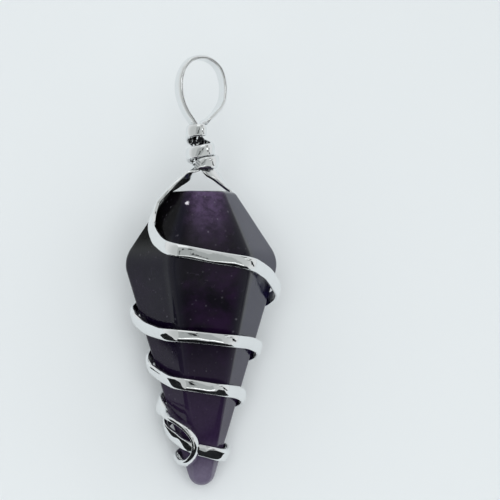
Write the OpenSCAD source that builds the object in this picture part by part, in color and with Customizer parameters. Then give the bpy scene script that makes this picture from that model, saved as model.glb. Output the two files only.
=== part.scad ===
// Amethyst cone pendant: a polished six-sided stone held by one flat-backed wire that winds down
// and back up it, with a bail bent from a second wire and wound around the neck.
// Everything is worked out upright, z up from the stone's tip and the front towards -y, then laid
// on its back as it rests on a table. Azimuths are degrees from the front towards +x.

/* [Stone] */
// height of the stone from its tip to its table
stone_height = 40.9; // [30:0.1:60]
// height of the widest line before rounding
girdle_height = 31.4; // [20:0.1:50]
// width across the flat sides at the widest line before rounding
girdle_width = 19.24; // [12:0.02:30]
// width across the flat sides at the table
table_width = 8.3; // [4:0.1:16]
// width across the flat sides where the long sides would meet the ground
tip_width = 2.72; // [1:0.02:6]
// rounding of the widest line
girdle_round = 4.6; // [1:0.1:8]
// rounding of the table's rim
table_round = 1; // [0.3:0.1:2]
// rounding of the six long edges
edge_round = 1.1; // [0.3:0.1:2]
// turn of the flat sides away from the front
stone_turn = 7.3; // [-30:0.1:30]

/* [Wire] */
// width of the flat-backed wire
wire_width = 1.75; // [1:0.05:3]
// thickness of the wire at the middle of its rounded face
wire_thick = 0.65; // [0.4:0.05:1.2]
// distance of the wire's middle from a flat side of the stone where it lies tight
wire_off = 0.56; // [0.4:0.01:1]
// bend of the wire over the stone's long edges, at the wire's middle
wire_bend = 2.5; // [1.5:0.1:4]
// turn of the wire's flat stretches across the front of the long taper
wire_turn = 0; // [-20:0.1:20]

/* [Bail] */
// turn of the bail's loop about the upright
loop_turn = 27; // [0:1:60]

/* [Rest] */
// rise of the stone's long axis off the table it lies on
rest_tilt = 14.787; // [0:0.001:40]
// roll about the long axis
rest_roll = -6.954; // [-30:0.001:30]
// height of the tip above the table
rest_height = 2.2575; // [0:0.0005:10]
// shift that puts the middle of the whole over the origin, across
rest_x = 0.593; // [-5:0.001:5]
// shift that puts the middle of the whole over the origin, along
rest_y = -29.004; // [-40:0.001:0]

/* [Smoothness] */
// distance between two sections of the cage wire
cage_step = 1; // [0.4:0.1:2]
// distance between two sections of the bail's wire
bail_step = 0.8; // [0.4:0.1:2]
// segments of each rounded long edge
edge_steps = 4; // [2:1:8]

/* [Hidden] */
girdle_flat = girdle_width / 2;
table_flat = table_width / 2;
tip_flat = tip_width / 2;

// the cage wire's first strand from the neck to the stone: x, y, z, face azimuth, face rise
front_strand = [
    [-0.40, -0.72, 47.40, 0, 0],
    [-0.10, -0.74, 46.00, 0, 0],
    [-0.35, -0.80, 45.00, -5, 8],
    [-0.95, -0.58, 44.10, -50, 35],
    [-1.95, -0.80, 43.15, -150, 48],
    [-3.30, -1.38, 42.05, -130, 45],
    [-4.77, -2.08, 40.79, -88, 36]
];

// its last strand, from the neck to the stone behind: x, y, z, face azimuth, face rise
back_strand = [
    [-0.40, 0.72, 47.40, 0, 0],
    [-0.05, 0.74, 46.00, 0, 0],
    [0.22, 0.70, 45.20, 0, 4],
    [0.80, 0.56, 44.15, 5, 14],
    [2.05, 1.05, 43.15, 22, 40],
    [3.20, 1.85, 42.00, 62, 48],
    [4.25, 2.85, 40.70, 112, 42]
];

// the way down, around the tip and back up: azimuth, height, lift off the stone, lean of its face
cage_turns = [
    // down from the table's corner and across the front
    [-72, 39.1, 0.35, 28],
    [-69.5, 37.5, 0.2, 21],
    [-62.5, 36.1, 0.16, 17],
    [-50, 34.75, 0.16, 15],
    [-37, 33.75, 0.2, 20],
    [-26, 33.1, 0.26, 21],
    [-8, 32.4, 0.2, 25],
    [10, 31.8, 0.2, 24],
    [31, 31.15, 0.2, 18],
    [48, 30.4, 0.15, 9],
    [66, 29.4, 0.45, 0],
    [90, 27.3, 0.72, 0],
    [118, 24.9, 0.45, 0],
    [180, 22.2, 0, 0],
    [235, 19.6, 0.15, 0],
    // second time across the front
    [262, 17.8, 0.33, 0],
    [279, 16.35, 0.45, 0],
    [290, 15.7, 0.35, 0],
    [315, 14.95, 0.32, 0],
    [345, 14.5, 0.54, 0],
    [366, 14.1, 0.5, 0],
    [400, 13.5, 0.2, 0],
    [430, 13, 0.12, 0],
    [450, 12.3, 0.35, 0],
    [480, 11.3, 0.2, 0],
    [540, 10.2, 0, 0],
    [595, 9.4, 0.3, 0],
    // third time, under the crossing, and around behind the tip
    [622, 8.8, 0.62, 0],
    [640, 7.6, 0.6, 0],
    [660, 6.55, 0.15, 0],
    [690, 5.75, 0.06, 0],
    [738, 5, 0, 0],
    [765, 4.55, 0.15, 0],
    [795, 4.3, 0.35, 0],
    [830, 4.7, 0.35, 0],
    [870, 4.9, 0.1, 0],
    [930, 4.5, 0.1, 0],
    [985, 3.9, 0.3, 20],
    // the bend that lies over the crossing
    [1030, 3.35, 0.65, 50],
    [1056, 3.75, 1, 60],
    [1070, 5.2, 1.38, 68],
    [1071, 6.9, 1.42, 70],
    [1062, 8.4, 1.2, 84],
    [1047, 9.5, 0.95, 94],
    [1024, 10.25, 0.75, 84],
    [1000, 11.1, 0.69, 50],
    [980, 12, 0.41, 15],
    // back up behind
    [955, 12.9, 0.15, 0],
    [900, 14.7, 0, 0],
    [850, 16.9, 0.15, 0],
    [815, 18.8, 0.54, 0],
    // across the front between the first two, from right to left
    [790, 19.85, 0.15, 0],
    [763, 20.3, 0.27, 0],
    [727, 20.87, 0.58, 0],
    [701, 21.25, 0.6, 0],
    [670, 21.6, 0.4, 0],
    [650, 22.2, 0.6, 0],
    [632, 23.8, 0.51, 0],
    // behind again to the table's corner
    [612, 25.4, 0.4, 0],
    [560, 29.3, 0, 0],
    [520, 32.6, 0.03, 0],
    [495, 35.3, 0, 0],
    [486, 37.3, 0, 0],
    [485, 39.1, 0, 0]
];

// the neck's middle line: height, x, y
neck = [
    [44.2, 0.3, 0],
    [46.45, -0.2, 0],
    [47.6, -0.42, 0],
    [48.6, -0.56, -0.06],
    [49.3, -0.66, -0.2],
    [49.93, -0.88, -0.4],
    [50.3, -0.95, -0.45]
];

// the bail's own leg inside the neck: height, face azimuth
leg = [
    [45.1, 0],
    [45.7, 0],
    [46.4, 0],
    [47.2, -8],
    [48, -30],
    [48.7, -52],
    [49.3, -62]
];

// the bail's loop in its own plane: across, height
loop = [
    [-1.05, 49.93],
    [-1.55, 50.6],
    [-2.32, 51.6],
    [-2.99, 52.8],
    [-3.44, 54.2],
    [-3.55, 55.4],
    [-3.48, 56.4],
    [-3.2, 57.4],
    [-2.6, 58.45],
    [-1.7, 59.25],
    [-0.31, 59.62],
    [1.14, 59.45],
    [2.04, 58.95],
    [2.82, 58.1],
    [3.27, 57],
    [3.5, 55.8],
    [3.49, 54.8],
    [3.27, 53.6],
    [2.71, 52.6],
    [1.93, 51.7],
    [1.1, 50.95]
];
// height the loop's faces look away from
loop_mid = 55.3;
// the loop's middle, across
loop_x = -0.04;

// the coil around the neck: azimuth, height, distance from the neck's middle line, face rise
coil = [
    [116, 50.15, 1.18, 0],
    [92, 49.68, 1.14, 1],
    [62, 49.5, 1.28, 1],
    [36, 49.44, 1.48, 1],
    [16, 49.4, 1.34, 1],
    [-6, 49.36, 1.29, 1],
    [-28, 49.32, 1.36, 1],
    [-46, 49.26, 1.46, 1],
    [-80, 49.08, 1.25, 2],
    [-120, 48.7, 1.5, 2],
    // second time across the front, pressed flatter there
    [-180, 47.85, 1.72, 0],
    [-270, 46.95, 1.82, 0],
    [-328, 46.62, 1.88, 0],
    [-344, 46.54, 1.74, 0],
    [-360, 46.45, 1.69, 0],
    [-376, 46.36, 1.74, 0],
    [-392, 46.28, 1.88, 0],
    [-450, 45.98, 1.84, 0],
    // third time, down to the cut end
    [-540, 45.5, 1.95, 0],
    [-585, 45.42, 2.22, 0],
    [-630, 45.12, 2.07, -1],
    [-688, 44.84, 2.1, -12],
    [-704, 44.77, 1.95, -15],
    [-722, 44.68, 1.9, -15],
    [-740, 44.62, 2.01, -10],
    [-760, 44.55, 2.24, 0]
];

// small vector helpers
function unit(v) = v / norm(v);
function first3(v) = [v[0], v[1], v[2]];
function last3(v) = [v[3], v[4], v[5]];
// direction at an azimuth, rising by a number of degrees
function face(az, rise = 0) = [sin(az) * cos(rise), -cos(az) * cos(rise), sin(rise)];

// fillet of radius r at b between the lines to a and c, in n steps
function fillet(a, b, c, r, n) =
    let (da = unit(a - b), dc = unit(c - b), half = acos(da * dc) / 2,
         mid = b + unit(da + dc) * r / sin(half),
         p = b + da * r / tan(half) - mid, q = b + dc * r / tan(half) - mid,
         pa = atan2(p[1], p[0]), turn = atan2(q[1], q[0]) - pa,
         sweep = turn > 180 ? turn - 360 : turn < -180 ? turn + 360 : turn)
    [for (i = [0:n]) mid + r * [cos(pa + sweep * i / n), sin(pa + sweep * i / n)]];

// the stone's outline as height and distance of its flat sides from the axis
long_angle = atan((girdle_flat - tip_flat) / girdle_height);
tip_round = tip_flat / (cos(long_angle) - tan(long_angle) * (1 - sin(long_angle)));
tip_line = [for (a = [6, 20, 36, 52, 66, 90 - long_angle]) tip_round * [1 - cos(a), sin(a)]];
girdle_line = fillet([0, tip_flat], [girdle_height, girdle_flat], [stone_height, table_flat],
                     girdle_round, 7);
rim_line = fillet([girdle_height, girdle_flat], [stone_height, table_flat], [stone_height, 0],
                  table_round, 3);
outline = concat(tip_line, girdle_line, rim_line);
function flat(z) = lookup(z, outline);
function flat_slope(z) = (flat(z + 0.3) - flat(z - 0.3)) / 0.6;

// one level of the stone: a hexagon with rounded corners
function level(z, a) =
    let (e = min(edge_round, 0.75 * a), c = (a - e) / cos(30))
    [for (i = [0:5], j = [0:edge_steps])
        let (m = stone_turn + 30 + 60 * i, b = m - 30 + 60 * j / edge_steps)
        [c * sin(m) + e * sin(b), -c * cos(m) - e * cos(b), z]];

// reach and face azimuth of a hexagon with corners of radius q, flat sides a from its middle, turned by t
function hexagon_way(az, a, q, t) =
    let (r = min(q, 0.9 * a), f = az - t - 60 * round((az - t) / 60),
         mid = az - f, side = f < 0 ? -1 : 1, edge = atan2((a - r) * tan(30), a))
    abs(f) <= edge ? [a / cos(f), mid]
    : let (c = (a - r) / cos(30), d = 30 - abs(f), s = c * sin(d),
           reach = c * cos(d) + sqrt(r * r - s * s),
           n = reach * [sin(az), -cos(az)] - c * [sin(mid + 30 * side), -cos(mid + 30 * side)],
           na = atan2(n[0], -n[1]))
      [reach, na + 360 * round((az - na) / 360)];

// the pulled wire follows the stone's sides behind and over the girdle, not across the front below it
function turn_at(az, z) =
    let (low = lookup(z, [[24, wire_turn], [29, stone_turn]]), off = abs(az - 360 * round(az / 360)))
    lookup(off, [[75, low], [105, stone_turn]]);

// place and face of the wire's middle on the stone
function on_stone(az, z, lift) =
    let (h = hexagon_way(az, flat(z) + wire_off + lift, wire_bend + lift, turn_at(az, z)))
    concat(h[0] * face(az) + [0, 0, z], unit(face(h[1]) - [0, 0, flat_slope(z)]));

// distances along a row of points
function along(p, i = 0, s = 0) =
    i >= len(p) ? []
    : let (t = i == 0 ? 0 : s + max(0.05, norm(p[i] - p[i - 1])))
      concat([t], along(p, i + 1, t));

// a smooth curve through rows of numbers placed at distances s, in steps of about `step`
function lean_of(v, s, i) =
    i == 0 ? (v[1] - v[0]) / (s[1] - s[0])
    : i == len(v) - 1 ? (v[i] - v[i - 1]) / (s[i] - s[i - 1])
    : let (g = s[i] - s[i - 1], h = s[i + 1] - s[i])
      (h * (v[i] - v[i - 1]) / g + g * (v[i + 1] - v[i]) / h) / (g + h);
function smooth(v, s, step) = concat(
    [for (i = [0:len(v) - 2])
        let (h = s[i + 1] - s[i], n = max(1, ceil(h / step)),
             m0 = lean_of(v, s, i) * h, m1 = lean_of(v, s, i + 1) * h)
        for (j = [0:n - 1])
            let (t = j / n, u = t * t, w = u * t)
            (2 * w - 3 * u + 1) * v[i] + (w - 2 * u + t) * m0
            + (3 * u - 2 * w) * v[i + 1] + (w - u) * m1],
    [v[len(v) - 1]]);
function smooth_way(v, step) = smooth(v, along([for (r = v) first3(r)]), step);

// direction of a way at each of its points, and its face made square to it
function heading(v, i) =
    unit(first3(v[min(i + 1, len(v) - 1)]) - first3(v[max(i - 1, 0)]));
function squared(n, t) = unit(n - t * (n * t));

// the cage wire's way on the stone, with the lean of its face applied
function cage_on_stone() =
    let (raw = [for (r = cage_turns) first3(on_stone(r[0], r[1], r[2]))],
         rows = smooth(cage_turns, along(raw), cage_step),
         w = [for (r = rows) on_stone(r[0], r[1], r[2])])
    [for (i = [0:len(w) - 1])
        let (t = heading(w, i), n = squared(last3(w[i]), t), b = cross(t, n), a = rows[i][3])
        concat(first3(w[i]), n * cos(a) + b * sin(a))];

function strand_rows(table) = [for (r = table) concat(first3(r), face(r[3], r[4]))];
function turned(v) = [for (i = [len(v) - 1:-1:0]) v[i]];

// the whole cage wire
cage_mid = cage_on_stone();
cage_end = len(cage_mid) - 1;
cage_way = concat(
    smooth_way(concat(strand_rows(front_strand), [cage_mid[0], cage_mid[1]]), cage_step),
    [for (i = [2:cage_end - 2]) cage_mid[i]],
    smooth_way(concat([cage_mid[cage_end - 1], cage_mid[cage_end]],
                      turned(strand_rows(back_strand))), cage_step));

// the whole bail wire
function neck_at(z) =
    [lookup(z, [for (r = neck) [r[0], r[1]]]), lookup(z, [for (r = neck) [r[0], r[2]]]), z];
loop_side = [cos(loop_turn), sin(loop_turn), 0];
coil_spots = [for (r = coil) r[2] * face(r[0]) + [0, 0, r[1]]];
bail_rows = concat(
    [for (r = leg) concat(neck_at(r[0]), face(r[1]))],
    [for (r = loop) concat(loop_side * r[0] + [loop_x, 0, r[1]],
                           unit(loop_side * r[0] + [0, 0, r[1] - loop_mid]))],
    [for (r = smooth(coil, along(coil_spots), bail_step))
        concat(neck_at(r[1]) + r[2] * face(r[0]), face(r[0], r[3]))]);
bail_way = smooth_way(bail_rows, bail_step);

// the wire's section: across its width, out from its middle
half_w = wire_width / 2;
half_t = wire_thick / 2;
back_corner = 0.12;
dome_fall = 0.07;
side_fall = 0.24;
dome_reach = 0.64 * half_w;
right_half = [
    [dome_reach, half_t - dome_fall], [half_w, half_t - side_fall],
    [half_w, back_corner - half_t], [half_w - back_corner, -half_t]
];
wire_section = concat(
    [for (i = [len(right_half) - 1:-1:0]) [-right_half[i][0], right_half[i][1]]],
    [[0, half_t]],
    right_half);

// a solid through sections that all have the same number of points
module lofted(rings) {
    n = len(rings);
    m = len(rings[0]);
    polyhedron(
        points = [for (r = rings, p = r) p],
        faces = concat(
            [[for (j = [0:m - 1]) j]],
            [for (i = [0:n - 2], j = [0:m - 1], k = [0, 1])
                let (a = i * m + j, b = i * m + (j + 1) % m)
                k == 0 ? [a, a + m, b + m] : [a, b + m, b]],
            [[for (j = [m - 1:-1:0]) (n - 1) * m + j]]),
        convexity = 10);
}

// the wire's section carried along a way
module wire(way) {
    lofted([for (i = [0:len(way) - 1])
        let (t = heading(way, i), n = squared(last3(way[i]), t), b = cross(t, n))
        [for (s = wire_section) first3(way[i]) + b * s[0] + n * s[1]]]);
}

// lays the upright pendant on its back
module at_rest() {
    translate([rest_x, rest_y, rest_height])
        rotate([-90, 0, 0])
            rotate([rest_tilt, 0, rest_roll])
                children();
}

module amethyst_stone() {
    color([0.2, 0.13, 0.27])
        at_rest()
            lofted([for (r = outline) level(r[0], r[1])]);
}

module cage_wire() {
    color([0.86, 0.87, 0.88])
        at_rest()
            wire(cage_way);
}

module bail_wire() {
    color([0.86, 0.87, 0.88])
        at_rest()
            wire(bail_way);
}

amethyst_stone();
cage_wire();
bail_wire();
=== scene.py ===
# Amethyst cone pendant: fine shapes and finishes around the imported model.
import math
import bpy
import numpy as np
from mathutils import Matrix, Vector, noise


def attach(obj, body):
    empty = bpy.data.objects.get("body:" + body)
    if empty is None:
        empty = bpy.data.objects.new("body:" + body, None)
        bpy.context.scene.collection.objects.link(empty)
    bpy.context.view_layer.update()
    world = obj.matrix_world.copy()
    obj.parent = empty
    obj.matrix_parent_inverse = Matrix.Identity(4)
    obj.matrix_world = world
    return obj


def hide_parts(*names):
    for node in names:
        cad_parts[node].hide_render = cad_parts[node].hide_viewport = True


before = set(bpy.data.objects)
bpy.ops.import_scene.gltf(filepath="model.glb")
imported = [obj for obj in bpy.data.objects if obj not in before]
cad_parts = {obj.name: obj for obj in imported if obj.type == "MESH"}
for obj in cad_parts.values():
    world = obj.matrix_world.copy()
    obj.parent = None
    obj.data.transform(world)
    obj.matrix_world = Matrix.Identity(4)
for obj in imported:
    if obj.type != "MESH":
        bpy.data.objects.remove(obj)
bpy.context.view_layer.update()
mm = 0.001
print("frame loaded:", ", ".join(sorted(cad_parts)))

# The pendant is worked out upright in mm, z up from the stone's tip and the front towards -y,
# then laid on its back. Azimuths are degrees from the front towards +x.
rest = {
    "tilt": 14.787,                       # rise of the stone's long axis off the table
    "roll": -6.954,                       # roll about the long axis
    "shift": (0.593, -29.004, 2.2575),    # brings the middle of the whole over the origin
}
restMatrix = (Matrix.Translation(rest["shift"])
              @ Matrix.Rotation(math.radians(-90), 4, "X")
              @ Matrix.Rotation(math.radians(rest["roll"]), 4, "Z")
              @ Matrix.Rotation(math.radians(rest["tilt"]), 4, "X"))
restTurn = np.array(restMatrix.to_3x3())
restShift = np.array(rest["shift"])


def laid(points):                         # upright mm to metres on the table
    return (np.asarray(points) @ restTurn.T + restShift) * mm


def sinD(degrees):
    return math.sin(math.radians(degrees))


def cosD(degrees):
    return math.cos(math.radians(degrees))


def unit(vector):
    vector = np.asarray(vector, float)
    return vector / np.linalg.norm(vector)


def face(azimuth, rise=0.0):              # direction at an azimuth, rising by some degrees
    return np.array([sinD(azimuth) * cosD(rise), -cosD(azimuth) * cosD(rise), sinD(rise)])


def tubeFaces(count, around, clockwise):  # quads between rings of points, then the first and last ring
    faces = []
    for start in range(0, (count - 1) * around, around):
        for j in range(around):
            a, b = start + j, start + (j + 1) % around
            quad = (a, b, b + around, a + around)
            faces.append(quad if clockwise else (quad[0], *reversed(quad[1:])))
    first = range(around)
    last = range((count - 1) * around, count * around)
    ends = (reversed(first), last) if clockwise else (first, reversed(last))
    return faces + [tuple(end) for end in ends]


# Stone's form
stone = {
    "height": 40.9,                       # from the tip to the table
    "girdleHeight": 31.4,                 # widest line before rounding
    "girdleFlat": 9.62,                   # axis to a flat side there
    "tableFlat": 4.15,                    # axis to a flat side at the table
    "tipFlat": 1.36,                      # the same where the long sides would meet the ground
    "girdleRound": 4.6,
    "tableRound": 1.0,
    "edgeRound": 1.1,
    "edgeMost": 0.75,                     # on a thin level, as a share of the way to its flat sides
    "sides": 6,
    "turn": 7.3,                          # flat sides' turn away from the front
    "wave": 0.035,                        # unevenness of the hand-polished sides
    "waveLength": 5.0,
    "fineWave": 0.4,                      # height of the finer waves, as a share of the broad ones'
    "finePitch": 2.3,                     # and how many of them go into a broad one
    "waveFrom": 2.0,                      # the waves are full this far from the axis
    "slopeReach": 0.3,                    # a slope is taken over so much above and below
    # the mesh
    "ringStep": 0.55,                     # distance between its levels
    "tipStart": 1.5,                      # degrees from the very tip to its first ring
    "tipSteps": 14,
    "girdleSteps": 18,
    "tableSteps": 7,
    "edgeSteps": 8,
    "sideSpots": (0.03, 0.12, 0.3, 0.5, 0.7, 0.88, 0.97),  # points along a side, as shares
    "tableRings": (0.97, 0.85, 0.6, 0.35, 0.12),           # rings on the table, as shares of its rim
}
sideAngle = 360 / stone["sides"]
cornerAngle = sideAngle / 2


def fillet(a, b, c, radius, steps):       # arc at b between the lines to a and c
    a, b, c = (np.array(p, float) for p in (a, b, c))
    toA, toC = unit(a - b), unit(c - b)
    half = math.acos(float(toA @ toC)) / 2
    middle = b + unit(toA + toC) * radius / math.sin(half)
    start = b + toA * radius / math.tan(half) - middle
    end = b + toC * radius / math.tan(half) - middle
    first = math.atan2(start[1], start[0])
    sweep = (math.atan2(end[1], end[0]) - first + math.pi) % (2 * math.pi) - math.pi
    angles = [first + sweep * i / steps for i in range(steps + 1)]
    return [middle + radius * np.array([math.cos(t), math.sin(t)]) for t in angles]


def stoneOutline():                       # rows of height and distance of the flat sides
    foot = (0.0, stone["tipFlat"])
    girdle = (stone["girdleHeight"], stone["girdleFlat"])
    rim = (stone["height"], stone["tableFlat"])
    longAngle = math.atan((girdle[1] - foot[1]) / girdle[0])
    tipRound = foot[1] / (math.cos(longAngle) - math.tan(longAngle) * (1 - math.sin(longAngle)))
    angles = np.linspace(math.radians(stone["tipStart"]), math.pi / 2 - longAngle, stone["tipSteps"])
    tip = [tipRound * np.array([1 - math.cos(t), math.sin(t)]) for t in angles]
    return np.array(tip + fillet(foot, girdle, rim, stone["girdleRound"], stone["girdleSteps"])
                    + fillet(girdle, rim, (rim[0], 0.0), stone["tableRound"], stone["tableSteps"]))


outline = stoneOutline()


def flatAt(height):
    return float(np.interp(height, outline[:, 0], outline[:, 1]))


def flatSlope(height):
    reach = stone["slopeReach"]
    return (flatAt(height + reach) - flatAt(height - reach)) / (2 * reach)


def stoneLevel(flat):                     # a hexagon with rounded corners, seen from above
    edge = min(stone["edgeRound"], stone["edgeMost"] * flat)
    corner = (flat - edge) / cosD(cornerAngle)
    steps = stone["edgeSteps"]
    arcs = []
    for side in range(stone["sides"]):
        azimuth = stone["turn"] + cornerAngle + sideAngle * side
        middle = corner * face(azimuth)[:2]
        arcs.append([middle + edge * face(azimuth - cornerAngle + sideAngle * j / steps)[:2]
                     for j in range(steps + 1)])
    loop = []
    for arc, following in zip(arcs, arcs[1:] + arcs[:1]):
        start, end = arc[-1], following[0]
        loop += arc + [start + (end - start) * t for t in stone["sideSpots"]]
    return np.array(loop)


def stoneMesh():
    levels = []
    for (z0, a0), (z1, a1) in zip(outline[:-1], outline[1:]):
        steps = max(1, math.ceil(math.hypot(z1 - z0, a1 - a0) / stone["ringStep"]))
        levels += [(z0 + (z1 - z0) * i / steps, a0 + (a1 - a0) * i / steps) for i in range(steps)]
    levels.append(tuple(outline[-1]))
    levels += [(stone["height"], outline[-1][1] * t) for t in stone["tableRings"]]
    rings = []
    for z, flat in levels:
        loop = stoneLevel(flat)
        rings.append(np.column_stack([loop, np.full(len(loop), z)]))
    points = np.concatenate(rings)
    # hand polishing leaves the sides a little uneven
    for i, p in enumerate(points):
        fine = noise.noise(Vector(p) * stone["finePitch"] / stone["waveLength"])
        wave = noise.noise(Vector(p) / stone["waveLength"]) + stone["fineWave"] * fine
        out = unit([p[0], p[1], 0.0])
        points[i] = p + out * wave * stone["wave"] * min(1.0, math.hypot(p[0], p[1]) / stone["waveFrom"])
    return points, tubeFaces(len(rings), len(rings[0]), True)


# Wire's ways, as rows of place and face
wire = {
    "width": 1.75,
    "thick": 0.65,                        # at the middle of its domed face
    "shoulder": -0.02,                    # where the dome ends, from the middle of the thickness
    "dome": 2.5,                          # power of its curve: 2 gives an ellipse, more a squarer one
    "corner": 0.13,                       # rounding of the flat back's corners
    "off": 0.56,                          # its middle's distance from a flat side it lies tight on
    "bend": 2.5,                          # its bend over the stone's long edges
    "bendMost": 0.9,                      # and the largest share of its way out that the bend takes
    "turn": 0.0,                          # its flat stretches' turn away from the front, below the girdle
    "turnFrom": 29.0,                     # above this height it lies as the stone's sides do
    "turnTo": 24.0,
    "turnFront": 75.0,                    # and it does so behind, past these azimuths
    "turnBehind": 105.0,
    "twist": 7.0,                         # degrees its face wanders from hand bending
    "twistLength": 3.0,
    "fineTwist": 0.5,                     # the finer wandering, as a share of the broad one
    "finePitch": 2.7,                     # and how much closer it comes
    "swell": 0.012,                       # share its section swells and shrinks by
    "swellLength": 2.2,
    "seeds": (7.1, 3.3, 1.7),             # for the wandering, the finer one and the swelling
    # the mesh
    "step": 0.28,                         # distance between its sections
    "closest": 0.05,                      # points that lie closer still count as so far apart
    "coilStep": 0.8,                      # distance between the coil's points before the last smoothing
    "domeSteps": 19,
    "cornerSteps": 5,
    "backSpots": (-0.9, -0.3),            # points on half of the flat back, as shares
}

# the cage wire's first strand from the neck to the stone: x, y, z, face azimuth, face rise
frontStrand = [
    (-0.40, -0.72, 47.40, 0, 0), (-0.10, -0.74, 46.00, 0, 0), (-0.35, -0.80, 45.00, -5, 8),
    (-0.95, -0.58, 44.10, -50, 35), (-1.95, -0.80, 43.15, -150, 48), (-3.30, -1.38, 42.05, -130, 45),
    (-4.77, -2.08, 40.79, -88, 36),
]
# its last strand, from the neck to the stone behind
backStrand = [
    (-0.40, 0.72, 47.40, 0, 0), (-0.05, 0.74, 46.00, 0, 0), (0.22, 0.70, 45.20, 0, 4),
    (0.80, 0.56, 44.15, 5, 14), (2.05, 1.05, 43.15, 22, 40), (3.20, 1.85, 42.00, 62, 48),
    (4.25, 2.85, 40.70, 112, 42),
]
# down the stone, around the tip and back up: azimuth, height, lift off the stone, lean of its face
cageTurns = [
    (-72, 39.1, 0.35, 28), (-69.5, 37.5, 0.2, 21), (-62.5, 36.1, 0.16, 17), (-50, 34.75, 0.16, 15),
    (-37, 33.75, 0.2, 20), (-26, 33.1, 0.26, 21), (-8, 32.4, 0.2, 25), (10, 31.8, 0.2, 24),
    (31, 31.15, 0.2, 18), (48, 30.4, 0.15, 9), (66, 29.4, 0.45, 0), (90, 27.3, 0.72, 0),
    (118, 24.9, 0.45, 0), (180, 22.2, 0, 0), (235, 19.6, 0.15, 0),
    # second time across the front
    (262, 17.8, 0.33, 0), (279, 16.35, 0.45, 0), (290, 15.7, 0.35, 0), (315, 14.95, 0.32, 0),
    (345, 14.5, 0.54, 0), (366, 14.1, 0.5, 0), (400, 13.5, 0.2, 0), (430, 13, 0.12, 0),
    (450, 12.3, 0.35, 0), (480, 11.3, 0.2, 0), (540, 10.2, 0, 0), (595, 9.4, 0.3, 0),
    # third time, under the crossing, and around behind the tip
    (622, 8.8, 0.62, 0), (640, 7.6, 0.6, 0), (660, 6.55, 0.15, 0), (690, 5.75, 0.06, 0),
    (738, 5, 0, 0), (765, 4.55, 0.15, 0), (795, 4.3, 0.35, 0), (830, 4.7, 0.35, 0),
    (870, 4.9, 0.1, 0), (930, 4.5, 0.1, 0), (985, 3.9, 0.3, 20),
    # the bend that lies over the crossing
    (1030, 3.35, 0.65, 50), (1056, 3.75, 1, 60), (1070, 5.2, 1.38, 68), (1071, 6.9, 1.42, 70),
    (1062, 8.4, 1.2, 84), (1047, 9.5, 0.95, 94), (1024, 10.25, 0.75, 84), (1000, 11.1, 0.69, 50),
    (980, 12, 0.41, 15),
    # back up behind
    (955, 12.9, 0.15, 0), (900, 14.7, 0, 0), (850, 16.9, 0.15, 0), (815, 18.8, 0.54, 0),
    # across the front between the first two, from right to left
    (790, 19.85, 0.15, 0), (763, 20.3, 0.27, 0), (727, 20.87, 0.58, 0), (701, 21.25, 0.6, 0),
    (670, 21.6, 0.4, 0), (650, 22.2, 0.6, 0), (632, 23.8, 0.51, 0),
    # behind again to the table's corner
    (612, 25.4, 0.4, 0), (560, 29.3, 0, 0), (520, 32.6, 0.03, 0), (495, 35.3, 0, 0),
    (486, 37.3, 0, 0), (485, 39.1, 0, 0),
]
# the neck's middle line: height, x, y
neck = [
    (44.2, 0.3, 0), (46.45, -0.2, 0), (47.6, -0.42, 0), (48.6, -0.56, -0.06), (49.3, -0.66, -0.2),
    (49.93, -0.88, -0.4), (50.3, -0.95, -0.45),
]
# the bail's own leg inside the neck: height, face azimuth
leg = [(45.1, 0), (45.7, 0), (46.4, 0), (47.2, -8), (48, -30), (48.7, -52), (49.3, -62)]
# the bail's loop in its own plane: across, height
loopWay = [
    (-1.05, 49.93), (-1.55, 50.6), (-2.32, 51.6), (-2.99, 52.8), (-3.44, 54.2), (-3.55, 55.4),
    (-3.48, 56.4), (-3.2, 57.4), (-2.6, 58.45), (-1.7, 59.25), (-0.31, 59.62), (1.14, 59.45),
    (2.04, 58.95), (2.82, 58.1), (3.27, 57), (3.5, 55.8), (3.49, 54.8), (3.27, 53.6),
    (2.71, 52.6), (1.93, 51.7), (1.1, 50.95),
]
loopPlace = {"turn": 27, "x": -0.04, "middle": 55.3}
# the coil around the neck: azimuth, height, distance from the neck's middle line, face rise
coil = [
    (116, 50.15, 1.18, 0), (92, 49.68, 1.14, 1), (62, 49.5, 1.28, 1), (36, 49.44, 1.48, 1),
    (16, 49.4, 1.34, 1), (-6, 49.36, 1.29, 1), (-28, 49.32, 1.36, 1), (-46, 49.26, 1.46, 1),
    (-80, 49.08, 1.25, 2), (-120, 48.7, 1.5, 2),
    # second time across the front, pressed flatter there
    (-180, 47.85, 1.72, 0), (-270, 46.95, 1.82, 0), (-328, 46.62, 1.88, 0), (-344, 46.54, 1.74, 0),
    (-360, 46.45, 1.69, 0), (-376, 46.36, 1.74, 0), (-392, 46.28, 1.88, 0), (-450, 45.98, 1.84, 0),
    # third time, down to the cut end
    (-540, 45.5, 1.95, 0), (-585, 45.42, 2.22, 0), (-630, 45.12, 2.07, -1), (-688, 44.84, 2.1, -12),
    (-704, 44.77, 1.95, -15), (-722, 44.68, 1.9, -15), (-740, 44.62, 2.01, -10), (-760, 44.55, 2.24, 0),
]
# the bail wire's last end: how far back its outer face and its lower edge are cut, the length over
# which that comes, the share of the width that is filed off, and over what length
cutEnd = {"outer": 0.8, "lower": 0.5, "length": 3.0, "filed": 0.32, "filedLength": 1.4}
plainEnd = {**cutEnd, "outer": 0.0, "lower": 0.0, "filed": 0.0}


def wireTurn(azimuth, height):            # the pulled wire doesn't follow the sides across the front
    low = np.interp(height, (wire["turnTo"], wire["turnFrom"]), (wire["turn"], stone["turn"]))
    off = abs((azimuth + 180) % 360 - 180)
    return float(np.interp(off, (wire["turnFront"], wire["turnBehind"]), (low, stone["turn"])))


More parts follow.
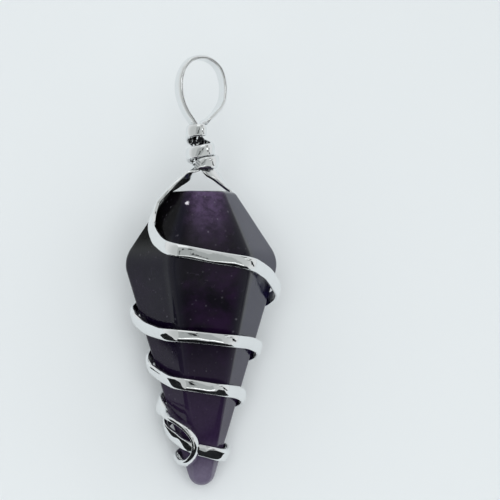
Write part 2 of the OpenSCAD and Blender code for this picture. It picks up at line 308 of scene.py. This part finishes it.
def hexagonWay(azimuth, flat, bend, turn):  # reach and face azimuth of a way around the stone
    radius = min(bend, wire["bendMost"] * flat)
    off = azimuth - turn - sideAngle * round((azimuth - turn) / sideAngle)
    mid = azimuth - off
    side = -1 if off < 0 else 1
    edge = math.degrees(math.atan2((flat - radius) * math.tan(math.radians(cornerAngle)), flat))
    if abs(off) <= edge:
        return flat / cosD(off), mid
    corner = (flat - radius) / cosD(cornerAngle)
    across = corner * sinD(cornerAngle - abs(off))
    reach = corner * cosD(cornerAngle - abs(off)) + math.sqrt(radius * radius - across * across)
    normal = reach * face(azimuth) - corner * face(mid + cornerAngle * side)
    toward = math.degrees(math.atan2(normal[0], -normal[1]))
    return reach, toward + 360 * round((azimuth - toward) / 360)


def onStone(azimuth, height, lift):       # place and face of the wire's middle on the stone
    flat = flatAt(height) + wire["off"] + lift
    reach, toward = hexagonWay(azimuth, flat, wire["bend"] + lift, wireTurn(azimuth, height))
    out = unit(face(toward) - np.array([0, 0, flatSlope(height)]))
    return np.concatenate([reach * face(azimuth) + [0, 0, height], out])


def along(points):                        # distance of each point from the first
    gaps = np.maximum(wire["closest"], np.linalg.norm(np.diff(np.array(points), axis=0), axis=1))
    return np.concatenate([[0.0], np.cumsum(gaps)])


def smoothRows(rows, spots, step):        # a smooth curve through rows of numbers placed at spots
    rows = np.array(rows, float)
    gaps = np.diff(spots)[:, None]
    slopes = np.diff(rows, axis=0) / gaps
    inner = (gaps[1:] * slopes[:-1] + gaps[:-1] * slopes[1:]) / (gaps[1:] + gaps[:-1])
    lean = np.vstack([slopes[:1], inner, slopes[-1:]])
    curve = []
    for i, gap in enumerate(gaps[:, 0]):
        count = max(1, math.ceil(gap / step))
        for t in np.arange(count) / count:
            curve.append((2 * t ** 3 - 3 * t * t + 1) * rows[i] + (t ** 3 - 2 * t * t + t) * gap * lean[i]
                         + (3 * t * t - 2 * t ** 3) * rows[i + 1] + (t ** 3 - t * t) * gap * lean[i + 1])
    curve.append(rows[-1])
    return np.array(curve)


def smoothWay(rows, step):
    return smoothRows(rows, along([r[:3] for r in rows]), step)


def squareTo(normal, heading):
    return unit(normal - heading * float(normal @ heading))


def strandRows(table):
    return [np.concatenate([r[:3], face(r[3], r[4])]) for r in table]


def cageWay(step):
    spots = along([onStone(*r[:3])[:3] for r in cageTurns])
    rows = smoothRows(cageTurns, spots, step)
    onIt = np.array([onStone(*r[:3]) for r in rows])
    headings = np.gradient(onIt[:, :3], axis=0)
    for i, row in enumerate(onIt):
        heading = unit(headings[i])
        normal = squareTo(row[3:], heading)
        onIt[i, 3:] = normal * cosD(rows[i][3]) + np.cross(heading, normal) * sinD(rows[i][3])
    down = smoothWay(np.vstack([strandRows(frontStrand), onIt[:2]]), step)
    up = smoothWay(np.vstack([onIt[-2:], strandRows(backStrand)[::-1]]), step)
    return np.vstack([down[:-1], onIt[2:-2], up[1:]])


def neckAt(height):
    heights, xs, ys = np.array(neck).T
    return np.array([np.interp(height, heights, xs), np.interp(height, heights, ys), height])


def bailWay(step):
    rows = [np.concatenate([neckAt(z), face(azimuth)]) for z, azimuth in leg]
    side = np.array([cosD(loopPlace["turn"]), sinD(loopPlace["turn"]), 0])
    for across, z in loopWay:
        place = side * across + [loopPlace["x"], 0, z]
        rows.append(np.concatenate([place, unit(side * across + [0, 0, z - loopPlace["middle"]])]))
    spots = along([r[2] * face(r[0]) + [0, 0, r[1]] for r in coil])
    for azimuth, z, reach, rise in smoothRows(coil, spots, wire["coilStep"]):
        rows.append(np.concatenate([neckAt(z) + reach * face(azimuth), face(azimuth, rise)]))
    return smoothWay(rows, step)


def wireSection():                        # a domed face over a flat back: across the width, and out
    halfWidth, halfThick = wire["width"] / 2, wire["thick"] / 2
    shoulder, corner = wire["shoulder"], wire["corner"]
    dome = []
    for t in np.linspace(0, math.pi, wire["domeSteps"]):
        c, s = math.cos(t), math.sin(t)
        across = math.copysign(abs(c) ** (2 / wire["dome"]), c) * halfWidth
        dome.append((across, shoulder + (halfThick - shoulder) * s))
    back = []
    for t in np.linspace(0, 90, wire["cornerSteps"]):
        back.append((-halfWidth + corner - corner * cosD(t), -halfThick + corner - corner * sinD(t)))
    back += [(x * (halfWidth - corner), -halfThick) for x in wire["backSpots"]]
    return np.array(dome + back + [(-x, y) for x, y in reversed(back)])


section = wireSection()


def wireFrames(way, spots):               # place, face and side at each spot, wandering a little
    headings = np.gradient(way[:, :3], axis=0)
    total = spots[-1]
    frames = []
    for row, heading, spot in zip(way, headings, spots):
        heading = unit(heading)
        normal = squareTo(row[3:], heading)
        side = np.cross(heading, normal)
        broad = noise.noise(Vector((spot / wire["twistLength"], wire["seeds"][0], total)))
        fine = noise.noise(Vector((spot * wire["finePitch"] / wire["twistLength"], wire["seeds"][1], total)))
        wander = wire["twist"] * broad + wire["fineTwist"] * wire["twist"] * fine
        frames.append(np.concatenate([row[:3], normal * cosD(wander) + side * sinD(wander),
                                      side * cosD(wander) - normal * sinD(wander)]))
    return np.array(frames)


def wireMesh(way, end):
    spots = along(way[:, :3])
    total = spots[-1]
    frames = wireFrames(way, spots)
    halfThick = wire["thick"] / 2
    points = []
    for spot in spots:
        swell = 1 + wire["swell"] * noise.noise(Vector((spot / wire["swellLength"], total, wire["seeds"][2])))
        filed = 1 - end["filed"] * max(0.0, 1 - (total - spot) / end["filedLength"]) ** 2
        toEnd = max(0.0, 1 - (total - spot) / end["length"])
        for x, y in section:
            outer = (y + halfThick) / (2 * halfThick)
            lower = 0.5 + x / wire["width"]
            cutBack = toEnd * (end["outer"] * outer + end["lower"] * lower)
            place = np.array([np.interp(spot - cutBack, spots, column) for column in frames.T])
            points.append(place[:3] + place[6:] * x * swell * filed + place[3:6] * y * swell)
    return np.array(points), tubeFaces(len(spots), len(section), False), total


def asPiece(name, points, faces, flatEnds=0):
    mesh = bpy.data.meshes.new(name)
    mesh.from_pydata([tuple(p) for p in laid(points)], [], faces)
    for i, polygon in enumerate(mesh.polygons):
        polygon.use_smooth = i < len(faces) - flatEnds
    upright = mesh.attributes.new("upright", "FLOAT_VECTOR", "POINT")
    upright.data.foreach_set("vector", np.asarray(points, np.float32).ravel())
    mesh.validate()
    mesh.update()
    piece = bpy.data.objects.new(name, mesh)
    bpy.context.scene.collection.objects.link(piece)
    return piece


# Shader sockets as Python values
class Tone:                               # a socket that Python's own operators work on
    def __init__(self, tree, socket):
        self.tree = tree
        self.socket = socket

    def maths(self, operation, *values):
        node = self.tree.nodes.new("ShaderNodeMath")
        node.operation = operation
        for slot, value in zip(node.inputs, values):
            if isinstance(value, Tone):
                self.tree.links.new(value.socket, slot)
            else:
                slot.default_value = value
        return Tone(self.tree, node.outputs[0])

    def __add__(self, other):
        return self.maths("ADD", self, other)

    def __radd__(self, other):
        return self.maths("ADD", other, self)

    def __sub__(self, other):
        return self.maths("SUBTRACT", self, other)

    def __rsub__(self, other):
        return self.maths("SUBTRACT", other, self)

    def __mul__(self, other):
        return self.maths("MULTIPLY", self, other)

    def __rmul__(self, other):
        return self.maths("MULTIPLY", other, self)

    def __truediv__(self, other):
        return self.maths("DIVIDE", self, other)

    def __pow__(self, other):
        return self.maths("POWER", self, other)

    def __abs__(self):
        return self.maths("ABSOLUTE", self)

    def most(self, other):
        return self.maths("MAXIMUM", self, other)

    def sine(self):
        return self.maths("SINE", self)

    def bearing(self, ahead):             # degrees from the direction ahead
        return self.maths("ARCTAN2", self, ahead) * math.degrees(1)


class Recipe:                             # a node tree being written
    def __init__(self, holder):
        holder.use_nodes = True
        self.tree = holder.node_tree
        self.tree.nodes.clear()

    def add(self, kind, settings, sockets, out=0):
        node = self.tree.nodes.new("ShaderNode" + kind)
        for name, value in settings.items():
            setattr(node, name, value)
        for name, value in sockets.items():
            slot = node.inputs[name]
            if isinstance(value, Tone):
                self.tree.links.new(value.socket, slot)
            elif slot.type == "RGBA":
                slot.default_value = (*value, 1)
            else:
                slot.default_value = value
        return Tone(self.tree, node.outputs[out]) if len(node.outputs) else None

    def upright(self):                    # a piece's own place in upright mm, and its x, y and z
        place = self.add("Attribute", {"attribute_name": "upright"}, {}, "Vector")
        return place, *(self.add("SeparateXYZ", {}, {0: place}, k) for k in range(3))

    def mix(self, factor, colourA, colourB):  # a Mix node's colours are its sockets 6 and 7, and out 2
        return self.add("Mix", {"data_type": "RGBA", "clamp_factor": True},
                        {0: factor, 6: colourA, 7: colourB}, 2)

    def ease(self, value, low, high):     # 0 below low, 1 above high, soft between
        return self.add("MapRange", {"interpolation_type": "SMOOTHSTEP"},
                        {"Value": value, "From Min": low, "From Max": high, "To Min": 0.0, "To Max": 1.0})

    def band(self, value, low, full, last, high):  # rises from low to full, falls from last to high
        return self.ease(value, low, full) * (1 - self.ease(value, last, high))

    def noise(self, place, scale, detail, rough, warp=0.0):
        return self.add("TexNoise", {}, {"Vector": place, "Scale": scale, "Detail": detail,
                                         "Roughness": rough, "Distortion": warp})

    def bump(self, height, strength, distance):
        return self.add("Bump", {}, {"Strength": strength, "Distance": distance, "Height": height}, "Normal")


# A range says where a tone comes in, or comes in and goes again: heights and distances in mm, degrees
# around from the front flat side, or levels of a noise. A share of two numbers gives the least and what
# a noise adds to it. A noise gives scale, detail, roughness and warp.
amethystLook = {
    "deep": (0.0020, 0.0012, 0.0045),
    "purple": (0.014, 0.0045, 0.022),
    "purpleRange": (0.45, 0.68),
    "milky": (0.0085, 0.0070, 0.0110),
    "milkyRange": (0.52, 0.74),
    "milkyShare": 0.7,
    "cloud": (0.15, 4.0, 0.55, 0.4),
    "veil": (0.42, 5.0, 0.6, 0.6),
    "fine": (2.2, 4.0, 0.65),
    # the sides' slate cast
    "sideRange": (31.0, 40.0, 100.0, 120.0),
    "girdleRange": (31.0, 34.0),
    "leftCast": (0.0042, 0.0024, 0.0110),
    "leftShare": (0.5, 0.5),
    "rightCast": (0.0115, 0.0098, 0.035),
    "rightShare": (0.7, 0.5),
    "upperLeftShade": (0.0024, 0.0024, 0.0022),    # painted shade, darkening the upper left side
    "upperLeftShadeRange": (12.0, 30.0),
    "upperLeftShadeShare": 0.9,
    "edge": (0.0085, 0.0080, 0.0140),     # the rounded edges beside the front
    "edgeRange": (20.0, 29.0, 32.0, 42.0),
    "edgeShare": (0.6, 0.8),
    # paler down the long taper, and palest at the tip, where painted light stands for light showing through
    # the thin stone
    "lower": (0.030, 0.016, 0.048),
    "lowerRange": (5.0, 24.0),
    "lowerShare": (0.51, 0.68),
    # painted light: the tip's colour, lit as if through the thin stone
    "tip": (0.152, 0.130, 0.195),
    "tipLightRange": (0.5, 7.5),
    "tipLightShare": (0.7, 0.6),
    # light gets in through the table and leaves a purple glow under it
    "glow": (0.090, 0.056, 0.125),
    "glowX": 0.9,
    "glowWide": (1.0, 3.9),
    "glowUneven": 1.6,
    "glowHeights": (32.0, 41.5),
    "glowDepth": (-3.9, -3.0),
    "mottle": (0.9, 5.0, 0.65, 0.5),
    "mottleRange": (0.3, 0.7),
    "glowShare": (0.35, 0.75),
    # small flaws inside: soft flecks, then specks in two sizes, gathered here and there
    "gatheredRange": (0.34, 0.56),
    "fleck": (0.045, 0.036, 0.058),
    "fleckNoise": (1.3, 6.0, 0.7, 0.8),
    "fleckRange": (0.60, 0.74),
    "fleckShare": (0.1, 0.4),
    "hazyHeights": (21.5, 25.0, 31.0, 35.0),
    "hazyShare": 0.25,
    "speck": (0.30, 0.29, 0.34),
    "speckShare": (0.1, 0.9),
    "speckStretch": 0.14,                 # mm of surface a degree around stands for
    "specks": ((0.50, 0.10, 0.60, 0.34), (1.2, 0.20, 0.72, 0.15)),  # scale, size, picked from, strength
    "pickedSpan": 0.4,
    # the one bright flaw near the table
    "glint": (0.75, 0.72, 0.78),
    "glintPlace": (-1.97, 39.2),
    "glintLong": 0.6,                     # below 1 it is taller than wide
    "glintNoise": (2.7, 3.0, 0.7),
    "glintRagged": 0.9,
    "glintSize": (0.62, 0.72),
    "glintDepth": (-1.0, 0.0),
    # its polish
    "ior": 1.30,
    "roughness": (0.05, 0.07),
    "roughRange": (0.35, 0.75),
    "relief": (5.0, 4.0, 0.65),
    "bump": (0.12, 0.00004),              # strength, and depth in m
    # and painted shade, where it hardly shines: the upper left side, the left side and the front below the
    # first wrap
    "shadedGlossRoughness": 0.6,
    "shadedGlossIor": 1.06,
    "shadedAround": (16.0, 27.0),
    "shadedHeights": (32.0, 35.0),
    "shadedShare": (0.55, 0.5),
    "frontHeights": (16.0, 20.0, 26.0, 29.5),
    "frontAround": (24.0, 30.0),
    "frontShare": 0.55,
    "leftHeights": (30.0, 33.0),
    "leftShadedShare": (0.12, 0.3),
}


def amethystFinish():
    material = bpy.data.materials.new("amethyst")
    look = amethystLook
    r = Recipe(material)
    place, x, y, z = r.upright()
    around = x.bearing(y * -1) - stone["turn"]
    leftward = around * -1
    fromFront = abs(around)
    cloud = r.noise(place, *look["cloud"])
    veil = r.noise(place, *look["veil"])
    fine = r.noise(place, *look["fine"])

    def share(name, grain):
        least, more = look[name]
        return least + more * grain

    body = r.mix(r.ease(cloud, *look["purpleRange"]), look["deep"], look["purple"])
    body = r.mix(r.ease(veil, *look["milkyRange"]) * look["milkyShare"], body, look["milky"])
    # the sides
    rightSide = r.band(around, *look["sideRange"])
    leftSide = r.band(leftward, *look["sideRange"])
    above = r.ease(z, *look["girdleRange"])
    body = r.mix(leftSide * share("leftShare", fine) * (1 - above), body, look["leftCast"])
    # painted shade on the upper left side
    body = r.mix(r.ease(leftward, *look["upperLeftShadeRange"]) * above * look["upperLeftShadeShare"], body, look["upperLeftShade"])
    body = r.mix(rightSide * share("rightShare", fine), body, look["rightCast"])
    body = r.mix(r.band(fromFront, *look["edgeRange"]) * share("edgeShare", veil), body, look["edge"])
    # the long taper, and the painted light at the tip
    body = r.mix((1 - r.ease(z, *look["lowerRange"])) * share("lowerShare", fine), body, look["lower"])
    # painted light: the tip lightened as if lit through the thin stone
    body = r.mix((1 - r.ease(z, *look["tipLightRange"])) * share("tipLightShare", fine), body, look["tip"])
    # the glow under the table
    away = abs(x - look["glowX"]) + (veil - 0.5) * look["glowUneven"]
    glow = r.ease(z, *look["glowHeights"]) * (1 - r.ease(away, *look["glowWide"]))
    glow = glow * (1 - r.ease(y, *look["glowDepth"]))
    mottle = r.ease(r.noise(place, *look["mottle"]), *look["mottleRange"])
    body = r.mix(glow * share("glowShare", mottle), body, look["glow"])
    # flecks and specks
    gathered = r.ease(cloud, *look["gatheredRange"])
    hazy = r.band(z, *look["hazyHeights"]) * look["hazyShare"]
    flecks = r.ease(r.noise(place, *look["fleckNoise"]), *look["fleckRange"])
    body = r.mix(flecks * (share("fleckShare", gathered) + hazy), body, look["fleck"])
    skin = r.add("CombineXYZ", {}, {0: around * look["speckStretch"], 1: z, 2: 0.0})
    speckShare = share("speckShare", gathered)
    for scale, size, pickedFrom, strength in look["specks"]:
        cells = ("TexVoronoi", {"voronoi_dimensions": "2D"}, {"Vector": skin, "Scale": scale})
        dot = 1 - r.ease(r.add(*cells, "Distance") + (fine - 0.5) * size, 0.0, size)
        drawn = r.add("SeparateColor", {}, {"Color": r.add(*cells, "Color")})
        picked = r.ease(drawn, pickedFrom, pickedFrom + look["pickedSpan"])
        body = r.mix(dot * picked * speckShare * strength, body, look["speck"])
    # the bright flaw
    glintX, glintZ = look["glintPlace"]
    far = ((x - glintX) ** 2 + (z - glintZ) ** 2 * look["glintLong"]) ** 0.5
    far = far + r.noise(place, *look["glintNoise"]) * look["glintRagged"]
    glint = (1 - r.ease(far, *look["glintSize"])) * (1 - r.ease(y, *look["glintDepth"]))
    body = r.mix(glint, body, look["glint"])
    polished = r.add("BsdfPrincipled", {}, {
        "Base Color": body, "Roughness": share("roughness", r.ease(fine, *look["roughRange"])),
        "Normal": r.bump(r.noise(place, *look["relief"]), *look["bump"]), "IOR": look["ior"], "Metallic": 0.0,
    })
    # painted shade: a weak, rough reflection for the places that lie in shade
    shadedGloss = r.add("BsdfPrincipled", {}, {
        "Base Color": body, "Roughness": look["shadedGlossRoughness"], "IOR": look["shadedGlossIor"], "Metallic": 0.0,
    })
    upperLeft = r.ease(leftward, *look["shadedAround"]) * r.ease(z, *look["shadedHeights"])
    left = leftSide * (1 - r.ease(z, *look["leftHeights"]))
    front = r.band(z, *look["frontHeights"]) * (1 - r.ease(fromFront, *look["frontAround"]))
    shaded = upperLeft * share("shadedShare", fine) + left * share("leftShadedShare", veil)
    shaded = shaded + front * look["frontShare"]
    surface = r.add("MixShader", {}, {0: shaded, 1: polished, 2: shadedGloss})
    r.add("OutputMaterial", {}, {"Surface": surface})
    return material


silverLook = {
    "bright": (0.83, 0.845, 0.85),
    "worn": (0.70, 0.71, 0.71),
    "tarnish": (0.9, 4.0, 0.6),
    "tarnishRange": (0.5, 0.8),
    "tarnishShare": 0.25,
    "scratch": (9.0, 3.0, 0.7),
    "scratchRange": (0.4, 0.8),
    "roughness": (0.03, 0.05),            # the least, and what the scratches add
    "dents": (3.0, 3.0, 0.5),
    "bump": (0.10, 0.00003),              # strength, and depth in m
    # painted shade in the neck's gap, where the inner wires lie in the dark
    "gap": (0.015, 0.016, 0.018),
    "gapShadeHeights": (43.7, 44.2, 48.65, 48.75),
    "gapShadeReach": (1.43, 1.55),             # from the neck's middle
    "gapStreaks": (1.6, 2.0, 0.4, 1.5),
    "streakRange": (0.56, 0.60),
    "neckSpan": (44.2, 48.6),             # the neck leans evenly between these heights
}


def silverFinish():
    material = bpy.data.materials.new("silverWire")
    look = silverLook
    r = Recipe(material)
    place, x, y, z = r.upright()
    tarnish = r.ease(r.noise(place, *look["tarnish"]), *look["tarnishRange"])
    colour = r.mix(tarnish * look["tarnishShare"], look["bright"], look["worn"])
    low, high = look["neckSpan"]
    neckX = r.add("MapRange", {}, {"Value": z, "From Min": low, "From Max": high,
                                   "To Min": neckAt(low)[0], "To Max": neckAt(high)[0]})
    # painted shade: the wires inside the coil darkened, broken by streaks
    inside = 1 - r.ease(((x - neckX) ** 2 + y ** 2) ** 0.5, *look["gapShadeReach"])
    inside = inside * r.band(z, *look["gapShadeHeights"])
    streaks = r.ease(r.noise(place, *look["gapStreaks"]), *look["streakRange"])
    colour = r.mix(inside * (1 - streaks), colour, look["gap"])
    least, more = look["roughness"]
    scratch = r.ease(r.noise(place, *look["scratch"]), *look["scratchRange"])
    surface = r.add("BsdfPrincipled", {}, {
        "Base Color": colour, "Roughness": least + more * scratch,
        "Normal": r.bump(r.noise(place, *look["dents"]), *look["bump"]), "Metallic": 1.0,
    })
    r.add("OutputMaterial", {}, {"Surface": surface})
    return material


cutLook = {
    "face": (0.56, 0.57, 0.57),
    "groove": (0.25, 0.26, 0.265),
    "pitch": 14.0,                        # radians of the grooves' wave a mm
    "wander": (2.0, 2.0, 0.5),
    "wanderShare": 3.0,
    "roughness": 0.42,
    "polish": 0.12,                       # how much smoother the ridges are
    "bump": (0.5, 0.00004),
}


def cutFinish():                          # the wire's sawn end, with the cutter's slanting grooves
    material = bpy.data.materials.new("cutSilver")
    look = cutLook
    r = Recipe(material)
    place, x, _, z = r.upright()
    spot = (x + z) * look["pitch"] + r.noise(place, *look["wander"]) * look["wanderShare"]
    ridges = spot.sine() * 0.5 + 0.5
    surface = r.add("BsdfPrincipled", {}, {
        "Base Color": r.mix(ridges, look["groove"], look["face"]),
        "Roughness": look["roughness"] - look["polish"] * ridges,
        "Normal": r.bump(ridges, *look["bump"]), "Metallic": 1.0,
    })
    r.add("OutputMaterial", {}, {"Surface": surface})
    return material


# Pieces
amethyst = amethystFinish()
silver = silverFinish()
cutSilver = cutFinish()
print("finishes made")

points, faces = stoneMesh()
stonePiece = asPiece("polished_amethyst", points, faces)
stonePiece.data.materials.append(amethyst)
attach(stonePiece, "root")
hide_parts("amethyst_stone")
print("stone made:", len(faces), "faces")

for name, node, way, end in (("cage_wire_silver", "cage_wire", cageWay(wire["step"]), plainEnd),
                             ("bail_wire_silver", "bail_wire", bailWay(wire["step"]), cutEnd)):
    points, faces, length = wireMesh(way, end)
    piece = asPiece(name, points, faces, flatEnds=2)
    piece.data.materials.append(silver)
    piece.data.materials.append(cutSilver)
    for polygon in list(piece.data.polygons)[-2:]:  # its two ends
        polygon.material_index = 1
    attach(piece, "root")
    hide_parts(node)
    print(name, "made:", round(length, 1), "mm long,", len(faces), "faces")

# Studio
camera = {
    "pixel": 0.1395,                      # mm a photo pixel spans at the stone's axis
    "axisPixel": (201.6, 485.0),          # the stone's tip in the photo
    "opticalPixel": (207.0, 250.0),       # the photo's own middle, before it was widened
    "frameMiddle": 250.0,                 # the middle and width of the picture now, pixels
    "frameWidth": 500,
    "distance": 210.0,                    # from the camera to the stone's axis, mm
    "sensor": 36.0,
    "clip": (0.01, 10),
}


def makeCamera():
    pixel, distance = camera["pixel"], camera["distance"]
    across, up = [o - a for o, a in zip(camera["opticalPixel"], camera["axisPixel"])]
    place = np.array([across * pixel, -distance, -up * pixel])
    turn = (camera["frameMiddle"] - camera["opticalPixel"][0]) * pixel
    ahead = unit([turn, distance, 0])
    right = unit(np.cross(ahead, [0, 0, 1]))
    top = np.cross(right, ahead)
    axes = [restTurn @ v for v in (right, top, -ahead)]
    data = bpy.data.cameras.new("camera")
    data.sensor_width = camera["sensor"]
    data.lens = camera["sensor"] * distance / (camera["frameWidth"] * pixel)
    data.clip_start, data.clip_end = camera["clip"]
    view = bpy.data.objects.new("camera", data)
    view.matrix_world = Matrix.Translation(laid(place)) @ Matrix(np.array(axes).T.tolist()).to_4x4()
    bpy.context.scene.collection.objects.link(view)
    bpy.context.scene.camera = view


def stagePiece(name, points, faces, colourA, colourB, look):  # a matt piece of the studio
    mesh = bpy.data.meshes.new(name)
    mesh.from_pydata(points, [], faces)
    piece = bpy.data.objects.new(name, mesh)
    bpy.context.scene.collection.objects.link(piece)
    material = bpy.data.materials.new(name)
    r = Recipe(material)
    grain = r.noise(r.add("TexCoord", {}, {}, "Object"), *look["grain"])
    colour = r.mix(grain * look["grainShare"], colourA, colourB)
    surface = r.add("BsdfPrincipled", {}, {"Base Color": colour, "Roughness": look["roughness"]})
    r.add("OutputMaterial", {}, {"Surface": surface})
    mesh.materials.append(material)
    return piece


floorLook = {
    "size": 1.6,                          # m
    "colour": (0.804, 0.838, 0.859),
    "shade": 0.93,                        # its darker grain, as a share of the colour
    "grain": (90.0, 2.0, 0.5),
    "grainShare": 0.12,
    "roughness": 0.75,
}


def makeFloor():
    half = floorLook["size"] / 2
    corners = [(-half, -half, 0), (half, -half, 0), (half, half, 0), (-half, half, 0)]
    colour = floorLook["colour"]
    shaded = tuple(c * floorLook["shade"] for c in colour)
    floor = stagePiece("floor", corners, [(0, 1, 2, 3)], colour, shaded, floorLook)


card = {
    "from": 168.0,                        # degrees around, from the right
    "to": 330.0,
    "steps": 25,
    "reach": 20.0,                        # from its middle, mm
    "middle": -18.0,                      # along the pendant
    "foot": 1.5,                          # its lower edge over the floor
    "top": 15.5,
    "hills": [(204, 26, 8.0), (300, 25, 9.0)],  # degrees around, half width, rise
    "colour": (0.004, 0.005, 0.006),
    "paler": (0.014, 0.015, 0.017),
    "grain": (60.0, 2.0, 0.5),
    "grainShare": 1.0,
    "roughness": 0.9,
}


def makeCard():                           # a dark card around the tip's end, there for the silver alone
    rows = []
    for degrees in np.linspace(card["from"], card["to"], card["steps"]):
        side = np.array([cosD(degrees), sinD(degrees)]) * card["reach"]
        rises = [rise * math.exp(-((degrees - at) / wide) ** 2) for at, wide, rise in card["hills"]]
        top = card["top"] + sum(rises)
        rows += [(side[0] * mm, (side[1] + card["middle"]) * mm, z * mm) for z in (card["foot"], top)]
    strips = [(i, i + 2, i + 3, i + 1) for i in range(0, len(rows) - 2, 2)]
    piece = stagePiece("darkCard", rows, strips, card["colour"], card["paler"], card)
    piece.visible_camera = piece.visible_diffuse = piece.visible_shadow = False


sky = {
    "low": (0.80, 0.815, 0.82),
    "high": (0.56, 0.58, 0.575),
    "highRange": (0.1, 0.9),              # shares of a direction towards the camera
    "patchRange": (0.0, 0.1),             # where the patches below fade in
    "wobble": (7.0, 2.0, 0.5),
    "panel": (1.8, 1.82, 1.82),
    "pale": (1.0, 1.02, 1.02),
    "grey": (0.40, 0.42, 0.415),
    "dark": (0.006, 0.007, 0.008),
}
# what stands around the camera, as the silver shows it: colour, middle across and up, reach across
# and up, softness and unevenness, all as shares of a direction along the photo's own right and up
surroundings = [
    ("dark", 0.12, -0.86, 0.36, 0.13, 0.05, 0.35),
    ("grey", 0.0, -0.11, 0.17, 0.51, 0.04, 0.05),
    ("pale", -0.01, 0.78, 0.13, 0.20, 0.06, 0.1),
    ("panel", 0.01, -0.645, 0.18, 0.018, 0.2, 0.9),
    ("dark", 0.012, -0.18, 0.027, 0.27, 0.12, 0.6),
    ("dark", 0.082, 0.20, 0.022, 0.13, 0.15, 0.5),
    ("dark", 0.50, 0.56, 0.10, 0.12, 0.12, 1.2),
    ("dark", 0.86, -0.30, 0.05, 0.16, 0.12, 1.2),
    # the thin streaks along the bail's loop
    ("dark", 0.69, -0.03, 0.12, 0.05, 0.1, 0.8),
    ("panel", 0.60, 0.125, 0.14, 0.035, 0.2, 0.9),
    ("dark", 0.83, 0.155, 0.05, 0.06, 0.15, 0.8),
]


def makeSky():
    world = bpy.data.worlds.new("studio")
    bpy.context.scene.world = world
    r = Recipe(world)
    direction = r.add("TexCoord", {}, {}, "Generated")

    def shareAlong(axis):                 # of the direction, along one of the photo's own axes
        return r.add("VectorMath", {"operation": "DOT_PRODUCT"},
                     {0: direction, 1: tuple(restTurn @ axis)}, "Value")

    acrossShare, upShare, nearShare = (shareAlong(axis) for axis in ((1, 0, 0), (0, 0, 1), (0, -1, 0)))
    wobble = r.noise(direction, *sky["wobble"]) - 0.5
    colour = r.mix(r.ease(nearShare, *sky["highRange"]), sky["low"], sky["high"])
    inFront = r.ease(nearShare, *sky["patchRange"])
    for name, across, height, reachAcross, reachUp, soft, uneven in surroundings:
        farAcross = abs(acrossShare - across) / reachAcross
        farUp = abs(upShare - height) / reachUp
        spot = 1 - r.ease(farAcross.most(farUp) + wobble * uneven, 1 - soft, 1 + soft)
        colour = r.mix(spot * inFront, colour, sky[name])
    background = r.add("Background", {}, {"Color": colour, "Strength": 1.0})
    r.add("OutputWorld", {}, {"Surface": background})


topPanel = {
    "place": (-0.05, -0.10, 0.60),        # m
    "size": 0.55,
    "power": 1.9,
}


def makeLamp():
    data = bpy.data.lights.new("topPanel", "AREA")
    data.shape = "RECTANGLE"
    data.size = topPanel["size"]
    data.size_y = topPanel["size"]
    data.energy = topPanel["power"]
    lamp = bpy.data.objects.new("topPanel", data)
    lamp.location = topPanel["place"]
    lamp.rotation_euler = (-Vector(topPanel["place"])).to_track_quat("-Z", "Y").to_euler()
    lamp.visible_glossy = False           # the panels that show in the silver are the sky's
    bpy.context.scene.collection.objects.link(lamp)


makeCamera()
makeFloor()
makeCard()
makeSky()
makeLamp()
bpy.context.scene.view_settings.view_transform = "Standard"
print("studio made")
